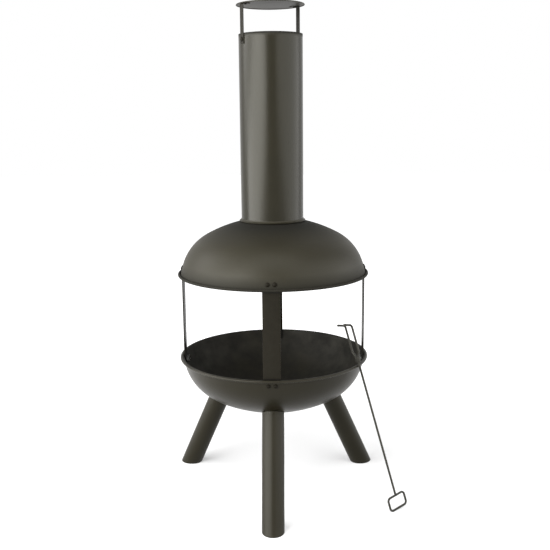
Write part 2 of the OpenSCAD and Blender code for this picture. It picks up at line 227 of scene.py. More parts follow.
def make_piece(name, body, material, points, faces, replaced, masks=None, sharp=35):
    """A mesh object on the stove's axis, its doubles merged and its faces turned outwards. masks
    gives values per point that the materials read, by name: wear; inside, which is soot and, on the
    uprights, painted shade; and a third, which is a soot stain on the pipe and painted shade on the
    dome."""
    mesh = bpy.data.meshes.new(name)
    mesh.from_pydata(points + AXIS, [], faces)
    given = masks or {}
    for label in ("wear", "inside", "smoke"):
        attribute = mesh.attributes.new(label, "FLOAT", "POINT")
        attribute.data.foreach_set("value", given.get(label, np.zeros(len(points))))
    shell = bmesh.new()
    shell.from_mesh(mesh)
    bmesh.ops.remove_doubles(shell, verts=shell.verts, dist=1e-6)
    bmesh.ops.recalc_face_normals(shell, faces=shell.faces)
    shell.to_mesh(mesh)
    shell.free()
    mesh.polygons.foreach_set("use_smooth", np.ones(len(mesh.polygons), bool))
    mesh.set_sharp_from_angle(angle=math.radians(sharp))
    mesh.materials.append(material)
    piece = bpy.data.objects.new(name, mesh)
    bpy.context.scene.collection.objects.link(piece)
    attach(piece, body)
    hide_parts(*replaced)


def revolve(section, turns):
    """Surface (r cos t, r sin t, z) of a section of (r, z) points over turns angles t."""
    t = np.linspace(0, 2 * np.pi, turns, endpoint=False)
    r, z = section[:, :1], section[:, 1:]
    return np.stack([r * np.cos(t), r * np.sin(t), z + 0 * t], -1)


def round_masks(turns, **masks):
    """Values per section point, repeated for each turn of the section."""
    return {label: np.repeat(values, turns) for label, values in masks.items()}


def lathe(name, body, slot, material, section, replaced, turns=192, **masks):
    """A ring or disc turned from a closed section round the stove's axis."""
    points, faces = stitch(revolve(section, turns)[None], True)
    make_piece(name, body, material, points, faces, replaced, round_masks(turns, **masks))


def turn_z(angle):
    """4x4 turn about z by an angle in degrees."""
    return np.array(Matrix.Rotation(math.radians(angle), 4, "Z"))


def turn_y(angle):
    """4x4 turn about y by an angle in degrees."""
    return np.array(Matrix.Rotation(math.radians(angle), 4, "Y"))


def shift(x, y, z):
    """4x4 shift."""
    return np.array(Matrix.Translation((x, y, z)))


def carry(places, points):
    """Points (..., 3) set out at each 4x4 place: place @ point."""
    turned = np.einsum("nij,...j->n...i", places[:, :3, :3], points)
    lift = places[:, :3, 3].reshape((len(places),) + (1,) * (points.ndim - 1) + (3,))
    return turned + lift


def sweep(places, section, sizes):
    """Rings of a section of (x, y) points, scaled by sizes, carried by 4x4 places along a path:
    place @ (x s, y s, 0)."""
    flat = np.concatenate([section, np.zeros((len(section), 1))], 1)
    ring = flat[None] * sizes[:, None, None]
    return np.einsum("nij,nkj->nki", places[:, :3, :3], ring) + places[:, None, :3, 3]


# The dished bowl and dome


def dish_face(depth, end_r):
    """The wall's knuckle and crown at a depth inside the outer face, from the wall to radius end_r:
    an arc about knuckle_c and then one about the crown's centre, tangent to each other."""
    crown = math.degrees(CROWN_TURN)
    last = math.degrees(math.acos(end_r / (CROWN_R - depth)))
    knuckle = arc(knuckle_c, KNUCKLE_R - depth, 90 - math.degrees(WALL_SLOPE), crown, 30)
    return np.concatenate([knuckle, arc((0, CROWN_C), CROWN_R - depth, crown, last, 34)[1:]])


def dish_section(hole_r):
    """Closed section of a pressed dish with its rim at z = 0. The sheet folds outwards below the
    wall and curls into a round lip of radius LIP_R. Also the rub on the lip, a bell curve about the
    angle rub_at on its round back, and 1 on the inner face."""
    slope = math.degrees(WALL_SLOPE)
    fold_z = FOLD_R - LIP_R
    fold_x = (WALL_R * wall_out[0] - SHEET + FOLD_R - fold_z * wall_out[1]) / wall_out[0]
    web_z = SHEET - LIP_R
    crease = np.array([[WALL_R - web_z / math.tan(WALL_SLOPE), web_z]])
    curl_from = 180 - math.degrees(math.asin(web_z / LIP_R))
    curl = arc((LIP_X, 0), LIP_R, curl_from, -90, 30)
    fold = arc((fold_x, fold_z), FOLD_R, 270, 270 - slope, 8)
    inner = dish_face(SHEET, hole_r)
    outer = dish_face(0, hole_r)[::-1]
    section = np.concatenate([crease, curl, fold, inner, outer])
    angle = np.degrees(np.arctan2(section[:, 1], section[:, 0] - LIP_X))
    on_lip = np.arange(len(section)) <= len(curl)
    rub_at, rub_spread = 45, 55
    wear = np.where(on_lip, np.exp(-((angle - rub_at) / rub_spread) ** 2), 0)
    inside = np.repeat([0.0, 1.0, 0.0], [1 + len(curl), len(fold) + len(inner), len(outer)])
    return section, wear, inside


def pressing(points):
    """A pressed sheet is never quite round: the knuckle swells and dips by 0.2 mm in three and seven
    lobes, d = swell sin(3 t + 1) + ripple sin(7 t), fading to nothing at the crown and at the wall."""
    swell, ripple = 0.00016, 0.00007
    crown_end, crown_fade, wall_end, wall_fade = 0.11, 0.04, 0.215, 0.03
    r = np.hypot(points[..., 0], points[..., 1])
    t = np.arctan2(points[..., 1], points[..., 0])
    zone = np.clip((r - crown_end) / crown_fade, 0, 1) * np.clip((wall_end - r) / wall_fade, 0, 1)
    return zone * (swell * np.sin(3 * t + 1) + ripple * np.sin(7 * t))


def dome_smoke(section):
    """How much painted shade darkens the dome at each (r, h) of its section, 0 to 1: wholly round the
    pipe's foot ring out to radius crown_in, in a straight fall to nothing at crown_out, and again in
    a straight fall over the height lip_reach from the lip up. The larger counts."""
    r, h = section.T
    crown_in, crown_out, lip_reach = 0.100, 0.185, 0.030
    crown = np.clip((crown_out - r) / (crown_out - crown_in), 0, 1)
    lip = 0.8 * np.clip((lip_reach - h) / lip_reach, 0, 1)
    return np.maximum(crown, lip)


def dish(name, rim_z, way_up, hole_r, material):
    """A bowl or dome: the dish section turned round the axis, with its slight unevenness. The dome is
    the one with a hole, and is the one with painted shade round its crown and above its lip."""
    turns = 256
    section, wear, inside = dish_section(hole_r)
    # Painted shade on the dome: darker round the pipe's foot ring and above the lip
    smoke = dome_smoke(section) if hole_r else np.zeros(len(section))
    grid = revolve(section, turns)
    grid[..., 2] += pressing(grid)
    grid[..., 2] = rim_z + way_up * grid[..., 2]
    points, faces = stitch(grid[None], True)
    make_piece(name + "_shell", "stove", material, points, faces, [name],
               round_masks(turns, wear=wear, inside=inside, smoke=smoke))


# Flat bars


def bar_section(width, thickness):
    """A flat bar's section with its corners rounded by quarter circles, and the rub on them."""
    x, y = width / 2 - EDGE_R, thickness / 2 - EDGE_R
    corners = [(x, y, 0), (-x, y, 90), (-x, -y, 180), (x, -y, 270)]
    section = np.concatenate([arc((cx, cy), EDGE_R, a, a + 90, 5) for cx, cy, a in corners])
    wear = np.tile([0.2, 0.7, 1.0, 0.7, 0.2], 4)
    return section, wear


def bent_strip(corners, radius):
    """Centre line of a bent strip in the (x, z) plane: straight between its corners, and an arc of
    the given radius, tangent to both sides, at each inner corner. Gives points and headings."""
    corners = np.array(corners)
    points, headings = [corners[:1]], []
    for before, at, after in zip(corners[:-2], corners[1:-1], corners[2:]):
        enter = math.atan2(*(at - before)[::-1])
        leave = math.atan2(*(after - at)[::-1])
        turn = (leave - enter + math.pi) % (2 * math.pi) - math.pi
        reach = radius * abs(math.tan(turn / 2))
        side = math.copysign(1, turn)
        centre = at - reach * np.array([math.cos(enter), math.sin(enter)])
        centre = centre + side * radius * np.array([-math.sin(enter), math.cos(enter)])
        heading = enter + np.linspace(0, turn, 9)
        across = np.stack([np.sin(heading), -np.cos(heading)], 1)
        points.append(centre + side * radius * across)
        headings.append(heading)
    points.append(corners[-1:])
    path = np.concatenate(points)
    heading = np.concatenate([[headings[0][0]]] + headings + [[headings[-1][-1]]])
    return path, heading


def stations(path, heading):
    """The same centre line with more points on it, at most 2 mm apart along its length."""
    pitch = 0.002
    along = np.concatenate([[0], np.cumsum(np.hypot(*np.diff(path, axis=0).T))])
    at = np.union1d(along, np.linspace(0, along[-1], 2 + int(along[-1] / pitch)))
    x, z, turn = (np.interp(at, along, values) for values in (*path.T, heading))
    return np.stack([x, z], 1), turn


def soot_and_lip_shade(z):
    """Soot and painted shade on the uprights by height: full soot past the lips of dome and bowl, where
    the bars run inside the dishes, each lip's shadow painted on the few millimetres next to it,
    fading out, and none as high as the cap straps."""
    fade, dome_gap, dome_reach = 0.004, 0.005, 0.05
    below_dome = np.clip((z - (DOME_RIM_Z - LIP_R - dome_gap)) / fade, 0, 1)
    below_dome = below_dome * (z < DOME_RIM_Z + dome_reach)
    above_bowl = np.clip((BOWL_RIM_Z + LIP_R + fade - z) / fade, 0, 1)
    return below_dome + above_bowl


def flat_bar(name, body, material, corners, radius, width, thickness, turn):
    """A flat bar bent along corners in the (x, z) plane, turned about the stove's axis."""
    path, heading = stations(*bent_strip(corners, radius))
    section, wear = bar_section(width, thickness)
    places = np.zeros((len(path), 4, 4))
    places[:, 3, 3] = 1
    places[:, :3, 3] = np.stack([path[:, 0], 0 * path[:, 0], path[:, 1]], 1)
    places[:, :3, 0] = (0, 1, 0)
    places[:, :3, 1] = np.stack([-np.sin(heading), 0 * heading, np.cos(heading)], 1)
    rings = sweep(turn_z(turn) @ places, section, np.ones(len(path)))
    points, faces = stitch(rings[None], False, (0, -1))
    # inside: soot past the dish lips, and each lip's shadow painted on the bar next to it
    masks = {"wear": np.tile(wear, len(path)), "inside": soot_and_lip_shade(points[:, 2])}
    make_piece(name + "_bar", body, material, points, faces, [name], masks)


def upright_bar(side, turn, material):
    """A straight flat bar whose two ends lean in to lie along the walls of bowl and dome."""
    half = UPRIGHT_T / 2
    lean = half * wall_out
    end_x, bend_x = tab_x(TAB_H), tab_x(BEND_H)
    ease = half * math.tan((math.pi / 2 - WALL_SLOPE) / 2)
    corners = [
        (end_x - lean[0], BOWL_RIM_Z - TAB_H + lean[1]), (bend_x - half, BOWL_RIM_Z - BEND_H + ease),
        (bend_x - half, DOME_RIM_Z + BEND_H - ease), (end_x - lean[0], DOME_RIM_Z + TAB_H - lean[1]),
    ]
    flat_bar("upright_" + side, "stove", material, corners, UPRIGHT_BEND_R, UPRIGHT_W, UPRIGHT_T, turn)


def strap_bar(side, turn, material):
    """A strap that lies on the pipe, stands up past its top and turns in under the cap."""
    half = STRAP_T / 2
    corners = [
        (STRAP_X + half, PIPE_TOP_Z - STRAP_LAP), (STRAP_X + half, CAP_Z - SEAT - half),
        (STRAP_X - STRAP_FOOT, CAP_Z - SEAT - half),
    ]
    flat_bar("cap_strap_" + side, "chimney", material, corners, STRAP_BEND_R, STRAP_W, STRAP_T, turn)


# Legs


def leg_tube(side, turn, material):
    """A tube of radius LEG_R on an axis that leans LEG_SPLAY from the vertical, square to the bowl's
    crown at its top and cut level with the ground: its wall at angle a ends where z = 0. The foot is
    closed by a flat plate, and both edges are eased. The outline lists rings of points, from the middle
    of the sole up the outside and back down the inside, with the rub on each. The rub fades out over
    foot_fade and top_fade of the wall."""
    turns = 96
    ease, cut = LEG_EDGE_R, 0.3 * LEG_EDGE_R
    foot_fade, top_fade = 0.02, 0.006
    top = math.sqrt(CROWN_R ** 2 - LEG_IN ** 2) + SEAT
    place = shift(0, 0, BOWL_CENTRE_Z) @ turn_z(turn) @ turn_y(180 - math.degrees(LEG_SPLAY))
    a = np.linspace(0, 2 * np.pi, turns, endpoint=False)

    def ring(radius, height):
        """Points of the wall at a radius where it reaches a height above the ground."""
        x, y = radius * np.cos(a), radius * np.sin(a)
        along = (height - place[2, 3] - place[2, 0] * x - place[2, 1] * y) / place[2, 2]
        return np.stack([x, y, along], 1)

    def level(radius, along):
        """Points of the wall at a radius, a distance along the axis."""
        return np.stack([radius * np.cos(a), radius * np.sin(a), np.full(turns, along)], 1)

    outline = [
        (ring(0, 0), 0), (ring(LEG_R - 2 * ease, 0), 0), (ring(LEG_R - ease, 0), 0.6),
        (ring(LEG_R - cut, cut), 1), (ring(LEG_R, ease), 0.8), (ring(LEG_R, 2 * ease), 0.2),
        (ring(LEG_R, foot_fade), 0), (level(LEG_R, top + top_fade), 0),
        (level(LEG_R, top + 2 * ease), 0.1), (level(LEG_R, top + ease), 0.5),
        (level(LEG_R - cut, top + cut), 0.8), (level(LEG_R - ease, top), 0.4),
        (level(LEG_IN, top), 0), (ring(LEG_IN, FOOT_T), 0), (ring(0, FOOT_T), 0),
    ]
    rings, wear = zip(*outline)
    points, faces = stitch(carry(place[None], np.array(rings)), False)
    make_piece(f"leg_{side}_tube", "stove", material, points, faces, [f"leg_{side}"],
               {"wear": np.repeat(wear, turns)})


# Bolts and rivets


def button_section(radius, height, shank_r, shank_l):
    """Section of a button head with its seat at z = 0 and a shank below, from the middle of the top
    down to the tip: the quarter ellipse (radius cos a, height sin a), a short upright edge, the seat,
    and the shank with its tip chamfered."""
    brim, chamfer = 0.12 * height, 0.0005
    a = np.radians(np.linspace(90, 12, 12))
    crown = np.stack([radius * np.cos(a), height * np.sin(a)], 1)
    rim = np.array([[radius, brim], [radius, 0], [shank_r, 0]])
    tip = np.array([[shank_r, chamfer - shank_l], [shank_r - chamfer, -shank_l], [0, -shank_l]])
    return np.concatenate([[[0, height]], crown, rim, tip])


def set_out(name, body, material, section, places):
    """The same turned bolt or rivet at each of the places, as one mesh for its node."""
    turns = 40
    points, faces = stitch(carry(places, revolve(section, turns)), False)
    make_piece(name + "_turned", body, material, points, faces, [name], sharp=30)


def wall_bolts(name, side, rim_z, material):
    """Pairs of button bolts through the wall of one dish at each upright."""
    slope = math.degrees(WALL_SLOPE)
    wall_x = WALL_R - BOLT_H / math.tan(WALL_SLOPE)
    depth = (wall_x - tab_x(BOLT_H)) * math.sin(WALL_SLOPE)
    seat = shift(wall_x, 0, side * BOLT_H) @ turn_y(slope if side > 0 else 180 - slope)
    places = np.array([
        shift(0, 0, rim_z) @ turn_z(turn) @ seat @ shift(0, across * BOLT_PITCH / 2, SEAT)
        for turn in UPRIGHT_TURNS.values() for across in (-1, 1)
    ])
    section = button_section(HEAD_R, HEAD_H, BOLT_R, depth + UPRIGHT_T + NUT_H + BOLT_SPARE)
    set_out(name, "stove", material, section, places)


def strap_bolts(material):
    """One button bolt through each strap and the pipe."""
    nut_x = math.sqrt(PIPE_IN ** 2 - NUT_CORNER_R ** 2) - SEAT
    head_x = STRAP_X + STRAP_T + SEAT
    places = np.array([
        turn_z(turn) @ shift(0, 0, STRAP_BOLT_Z) @ turn_y(90) @ shift(0, 0, head_x)
        for turn in STRAP_TURNS.values()
    ])
    section = button_section(HEAD_R, HEAD_H, BOLT_R, head_x - nut_x + NUT_H + BOLT_SPARE)
    set_out("strap_bolts", "chimney", material, section, places)


def cap_rivets(material):
    """One rivet through the cap and each strap's foot, with a round head on both sides: a button
    without its tip, and the same again upside down."""
    top = CAP_Z + CAP_T + SEAT
    foot = CAP_Z - 2 * SEAT - STRAP_T
    head_r, head_h = 2 * RIVET_R, 0.9 * RIVET_R
    tip_points = 3
    upper = button_section(head_r, head_h, RIVET_R, top - foot)[:-tip_points]
    lower = upper[::-1] * (1, -1) + (0, foot - top)
    section = np.concatenate([upper, lower])
    places = np.array([turn_z(turn) @ shift(RIVET_X, 0, top) for turn in STRAP_TURNS.values()])
    set_out("cap_rivets", "chimney", material, section, places)


# Chimney


def tube_section(inner, outer, low, high, edge):
    """Closed section of a tube whose four edges are eased by quarter circles of radius edge."""
    left, right, bottom, top = inner + edge, outer - edge, low + edge, high - edge
    corners = [(right, top), (left, top), (left, bottom), (right, bottom)]
    return np.concatenate([arc(at, edge, 90 * i, 90 * i + 90, 5) for i, at in enumerate(corners)])


def chimney_tube(material):
    """The pipe, rubbed at its two ends and with a soot stain at its top. Extra rings near both ends
    keep the rub and the stain from spreading along it."""
    tube = tube_section(PIPE_IN, PIPE_R, PIPE_FOOT_Z, PIPE_TOP_Z, EDGE_R)
    between = [PIPE_FOOT_Z + 0.004] + [PIPE_TOP_Z - drop for drop in (0.010, 0.006, 0.003)]
    section = np.concatenate([tube, [(PIPE_R, z) for z in between]])
    rub = np.concatenate([np.repeat([0.2, 0.2, 0.0, 0.3], 5), [0, 0, 0, 0.1]])
    soot = np.concatenate([np.ones(15), np.zeros(5), [0, 0, 0.25, 0.8]])
    lathe("chimney_tube", "chimney", "coat_shell", material, section, ["chimney_pipe"],
          wear=rub, smoke=soot)


def foot_ring(material):
    """The flared ring round the pipe's foot. It stands on a narrow heel at its inner edge, with a
    dark gap under its outer one, and its skirt is the quarter ellipse (out_r - flare sin a,
    top - fall cos a)."""
    in_r = PIPE_R + SEAT
    out_r = in_r + FLANGE_W
    foot, low = dome_out(in_r) + SEAT, dome_out(out_r) + FLANGE_GAP
    top = foot + FLANGE_H
    edge, heel, lean, land = 0.0007, 0.0012, 0.0004, 0.0006
    a = np.radians(np.linspace(0, 90, 14))
    flare, fall = FLANGE_W - land, top - low - 2 * edge
    skirt = np.stack([out_r - flare * np.sin(a), top - fall * np.cos(a)], 1)
    section = np.concatenate([
        [[in_r, foot], [in_r + heel, foot], [in_r + heel + lean, foot + heel]],
        arc((out_r - edge, low + edge), edge, -90, 0, 5), skirt, [[in_r, top]],
    ])
    rub = np.concatenate([np.zeros(3), np.full(5, 0.3), np.full(14, 0.1), [0.3]])
    lathe("pipe_foot_ring", "chimney", "coat_shell", material, section, ["pipe_flange"], wear=rub)


def dome_neck(material):
    """The neck inside the pipe's foot, with its flange under the dome."""
    in_r, edge_r = NECK_R - NECK_T, NECK_R + NECK_FLANGE
    seat, edge_seat = dome_in(NECK_R) - SEAT, dome_in(edge_r) - SEAT
    top = dome_out(NECK_R) + NECK_H
    flange = [[NECK_R, seat], [edge_r, edge_seat], [edge_r, edge_seat - NECK_T], [in_r, seat - NECK_T]]
    section = np.concatenate([
        arc((in_r + EDGE_R, top - EDGE_R), EDGE_R, 180, 90, 4),
        arc((NECK_R - EDGE_R, top - EDGE_R), EDGE_R, 90, 0, 4), flange,
    ])
    lathe("dome_neck_turned", "stove", "coat_frame", material, section, ["dome_neck"], turns=160)


def rain_cap(material):
    """A flat disc whose edge turns down in a quarter bend and ends in a round lip, rubbed there."""
    bend = CAP_T + CAP_BEND_R
    corner = (CAP_R - bend, CAP_Z + CAP_T - bend)
    lip_z = CAP_Z + CAP_T - CAP_EDGE
    lip = arc((CAP_R - CAP_T / 2, lip_z + CAP_T / 2), CAP_T / 2, 0, -180, 7)
    flat = np.linspace(0, corner[0], 12)[:-1]
    section = np.concatenate([
        np.stack([flat, 0 * flat + CAP_Z + CAP_T], 1), arc(corner, bend, 90, 0, 10), lip,
        arc(corner, bend - CAP_T, 0, 90, 6), np.stack([flat[::-1], 0 * flat + CAP_Z], 1),
    ])
    rub = np.concatenate([0 * flat, np.full(10, 0.6), np.full(7, 0.9), np.zeros(6), 0 * flat])
    lathe("rain_cap_disc", "chimney", "coat_shell", material, section, ["rain_cap"], wear=rub)


# Poker


def follow_wire(start, steps):
    """4x4 places along a wire from start. A straight step (length,) runs along z. A bend
    (radius, angle, toward) is x = radius (1 - cos a), z = radius sin a, turned about z by toward, and
    the wire keeps its roll. Places are at most stride metres and about turn_stride degrees apart."""
    stride, turn_stride = 0.03, 6
    places = [start[None]]
    for step in steps:
        last = places[-1][-1]
        if len(step) == 1:
            count = 2 + int(step[0] / stride)
            here = np.tile(np.eye(4), (count, 1, 1))
            here[:, 2, 3] = np.linspace(0, step[0], count + 1)[1:]
            places.append(last @ here)
            continue
        radius, angle, toward = step
        a = np.linspace(0, angle, 2 + int(math.degrees(angle) / turn_stride))[1:]
        here = np.tile(np.eye(4), (len(a), 1, 1))
        here[:, 0, 0] = here[:, 2, 2] = np.cos(a)
        here[:, 0, 2], here[:, 2, 0] = np.sin(a), -np.sin(a)
        here[:, 0, 3], here[:, 2, 3] = radius * (1 - np.cos(a)), radius * np.sin(a)
        places.append(last @ turn_z(math.degrees(toward)) @ here @ turn_z(-math.degrees(toward)))
    return np.concatenate(places)


def wire(name, node, start, steps, material, closed=False):
    """Round wire along its steps, closed into a ring or with both ends rounded over by quarter
    circles of radius WIRE_EDGE."""
    turns = 24
    places = follow_wire(start, steps)
    section = arc((0, 0), ROD_R, 0, 360 - 360 / turns, turns)
    if closed:
        rings = sweep(places[:-1], section, np.ones(len(places) - 1))
        points, faces = stitch(rings[None], True)
    else:
        a = np.radians([0, 30, 60, 90])
        tuck, sizes = WIRE_EDGE * (1 - np.cos(a)), 1 - WIRE_EDGE / ROD_R * (1 - np.sin(a))
        head = places[0] @ np.array([shift(0, 0, t) for t in tuck])
        tail = places[-1] @ np.array([shift(0, 0, -t) for t in tuck[::-1]])
        rings = sweep(np.concatenate([head, places[1:-1], tail]), section,
                      np.concatenate([sizes, np.ones(len(places) - 2), sizes[::-1]]))
        points, faces = stitch(rings[None], False, (0, -1))
    make_piece(name, "poker", material, points, faces, [node])


def poker(material):
    """The leaning poker: its rod lies on the outside of the bowl's lip and the lowest corner of its
    loop stands on the ground."""
    tilt, heading = POKER_TILT, POKER_HEADING
    level = math.sin(tilt)
    rod = np.array([math.cos(heading) * level, math.sin(heading) * level, math.cos(tilt)])
    radial = np.array([math.cos(POKER_LEAN), math.sin(POKER_LEAN), 0])
    out = np.cross([-radial[1], radial[0], 0], rod)
    out *= math.copysign(1, out @ radial) / np.linalg.norm(out)
    touch = LIP_X * radial + (0, 0, BOWL_RIM_Z) + (LIP_R + ROD_R + SEAT) * out
    drop, rise = level * math.cos(POKER_ROLL), math.cos(tilt)
    loop_z = ROD_R + (LOOP_W / 2 - LOOP_R) * drop - LOOP_R * rise + LOOP_R * math.hypot(drop, rise)
    lean_t = (touch[2] - loop_z) / rod[2]
    foot = touch - lean_t * rod
    place = (shift(*foot) @ turn_z(math.degrees(heading)) @ turn_y(math.degrees(tilt))
             @ turn_z(math.degrees(POKER_ROLL)))

    root_t = lean_t + PRONG_RISE
    start = LOOP_H + ROD_R + SEAT
    rod_l = root_t + PRONG_ROOT - start
    wire("poker_rod_wire", "poker_rod", place @ shift(0, 0, start), [(rod_l,)], material)

    corner = (LOOP_R, math.pi / 2, 0)
    upright, across = (LOOP_H - 2 * LOOP_R,), (LOOP_W - 2 * LOOP_R,)
    wire("poker_loop_wire", "poker_handle", place @ shift(-LOOP_W / 2, 0, LOOP_R),
         [upright, corner, across, corner, upright, corner, across, corner], material, closed=True)

    run = PRONG_GAP / 2 - PRONG_SIDE - 2 * PRONG_BEND_R * (1 - math.cos(PRONG_BEND))
    spread = (run / math.sin(PRONG_BEND),)
    for side, label in ((1, "right"), (-1, "left")):
        away = side * math.pi / 2
        steps = [
            (PRONG_ROOT,), (PRONG_BEND_R, PRONG_BEND, away), spread, (PRONG_BEND_R, PRONG_BEND, -away),
            (PRONG_L,), (HOOK_BEND_R, HOOK_BEND, 0), (HOOK_L,),
        ]
        wire(f"poker_prong_{label}_wire", f"poker_prong_{label}",
             place @ shift(0, side * PRONG_SIDE, root_t), steps, material)


# Finishes

WORN_COAT = (0.055, 0.052, 0.040)
# Soot on inner faces; on the uprights this colour is also painted shade beside the dish lips
SOOT_AND_SHADE = (0.003, 0.003, 0.0028, 1)
# Soot stain on the pipe's top and inside; on the dome this colour is painted shade
SMOKE_STAIN_AND_SHADE = (0.0018, 0.0015, 0.0005, 1)
GLOSS_TINT = (1.0, 0.99, 0.91, 1)
SOOT_ROUGHNESS = 0.85


def add(tree, kind, **settings):
    """A node of one kind with its settings. A key that names a socket sets its value."""
    node = tree.nodes.new("ShaderNode" + kind)
    for key, value in settings.items():
        if hasattr(node, key):
            setattr(node, key, value)
        else:
            node.inputs[key.replace("_", " ")].default_value = value
    return node


def wire_up(tree, *pairs):
    """Links each pair of (from socket, to socket)."""
    for source, target in pairs:
        tree.links.new(source, target)


def new_group(name, inputs, outputs):
    """A shader node group with named sockets, all plain values but its Coordinates. Gives its tree
    and its two ends."""
    tree = bpy.data.node_groups.new(name, "ShaderNodeTree")
    for way, labels in (("INPUT", inputs), ("OUTPUT", outputs)):
        for label in labels:
            kind = "NodeSocketVector" if label == "Coordinates" else "NodeSocketFloat"
            tree.interface.new_socket(label, in_out=way, socket_type=kind)
    return tree, tree.nodes.new("NodeGroupInput"), tree.nodes.new("NodeGroupOutput")


def coat_grain_group():
    """Powder coat seen close: orange peel about 2 mm across and a fine sandy grain in it, as a
    height, and a slow change of tone over tens of millimetres, as a value round 1."""
    tree, given, out = new_group("coat_grain", ["Coordinates"], ["Height", "Tone"])
    peel = add(tree, "TexNoise", Scale=420.0, Detail=1.0)
    sand = add(tree, "TexNoise", Scale=1700.0, Detail=2.0, Roughness=0.6)
    cloud = add(tree, "TexNoise", Scale=14.0, Detail=3.0, Roughness=0.55)
    speck = add(tree, "TexNoise", Scale=900.0, Detail=1.0)
    height = add(tree, "Math", operation="MULTIPLY_ADD")
    height.inputs[1].default_value = 0.45
    slow = add(tree, "MapRange", From_Min=0.3, From_Max=0.7, To_Min=0.93, To_Max=1.07)
    fine = add(tree, "MapRange", From_Min=0.3, From_Max=0.7, To_Min=0.9, To_Max=1.1)
    tone = add(tree, "Math", operation="MULTIPLY")
    for noise in (peel, sand, cloud, speck):
        wire_up(tree, (given.outputs[0], noise.inputs["Vector"]))
    wire_up(
        tree, (sand.outputs["Fac"], height.inputs[0]), (peel.outputs["Fac"], height.inputs[2]),
        (height.outputs[0], out.inputs["Height"]), (cloud.outputs["Fac"], slow.inputs["Value"]),
        (speck.outputs["Fac"], fine.inputs["Value"]), (slow.outputs[0], tone.inputs[0]),
        (fine.outputs[0], tone.inputs[1]), (tone.outputs[0], out.inputs["Tone"]),
    )
    return tree


def edge_rub_group():
    """Where handling has thinned the coat: the piece's wear value, broken up by noise."""
    tree, given, out = new_group("edge_rub", ["Coordinates", "Amount"], ["Mask"])
    wear = add(tree, "Attribute", attribute_name="wear")
    patch = add(tree, "TexNoise", Scale=60.0, Detail=4.0, Roughness=0.7)
    broken = add(tree, "MapRange", From_Min=0.35, From_Max=0.7, To_Min=0.25, To_Max=1.0)
    worn = add(tree, "Math", operation="MULTIPLY")
    mask = add(tree, "Math", operation="MULTIPLY", use_clamp=True)
    wire_up(
        tree, (given.outputs["Coordinates"], patch.inputs["Vector"]),
        (patch.outputs["Fac"], broken.inputs["Value"]), (wear.outputs["Fac"], worn.inputs[0]),
        (broken.outputs[0], worn.inputs[1]),
        (worn.outputs[0], mask.inputs[0]), (given.outputs["Amount"], mask.inputs[1]),
        (mask.outputs[0], out.inputs["Mask"]),
    )
    return tree


def soot_and_shade_group():
    """Matt soot on inner faces, and on the uprights a painted shadow beside the dish lips: the
    piece's inside value, cloudy and thin.
    """
    tree, given, out = new_group("inner_soot_and_lip_shade", ["Coordinates", "Amount"], ["Mask"])
    inside = add(tree, "Attribute", attribute_name="inside")
    cloud = add(tree, "TexNoise", Scale=22.0, Detail=5.0, Roughness=0.65)
    thin = add(tree, "MapRange", From_Min=0.3, From_Max=0.65, To_Min=0.35, To_Max=1.0)
    patch = add(tree, "Math", operation="MULTIPLY")
    mask = add(tree, "Math", operation="MULTIPLY", use_clamp=True)
    wire_up(
        tree, (given.outputs["Coordinates"], cloud.inputs["Vector"]),
        (cloud.outputs["Fac"], thin.inputs["Value"]), (inside.outputs["Fac"], patch.inputs[0]),
        (thin.outputs[0], patch.inputs[1]),
        (patch.outputs[0], mask.inputs[0]), (given.outputs["Amount"], mask.inputs[1]),
        (mask.outputs[0], out.inputs["Mask"]),
    )
    return tree


def use_group(tree, group, **settings):
    """Places a group in a tree and sets its plain inputs."""
    node = tree.nodes.new("ShaderNodeGroup")
    node.node_tree = group
    for label, value in settings.items():
        node.inputs[label].default_value = value
    return node


def mix(tree, factor, first, second):
    """Colour between first and second by factor. Each is a socket or a plain colour."""
    node = tree.nodes.new("ShaderNodeMix")
    node.data_type = "RGBA"
    for socket, value in ((node.inputs[0], factor), (node.inputs[6], first), (node.inputs[7], second)):
        if isinstance(value, bpy.types.NodeSocket):
            tree.links.new(value, socket)
        else:
            socket.default_value = value
    return node.outputs[2]


def new_finish(name):
    """A material with only its Principled BSDF and output. Gives the material, its tree and BSDF."""
    finish = bpy.data.materials.new(name)
    finish.use_nodes = True
    tree = finish.node_tree
    tree.nodes.clear()
    surface = add(tree, "BsdfPrincipled")
    out = add(tree, "OutputMaterial")
    tree.links.new(surface.outputs[0], out.inputs["Surface"])
    return finish, tree, surface


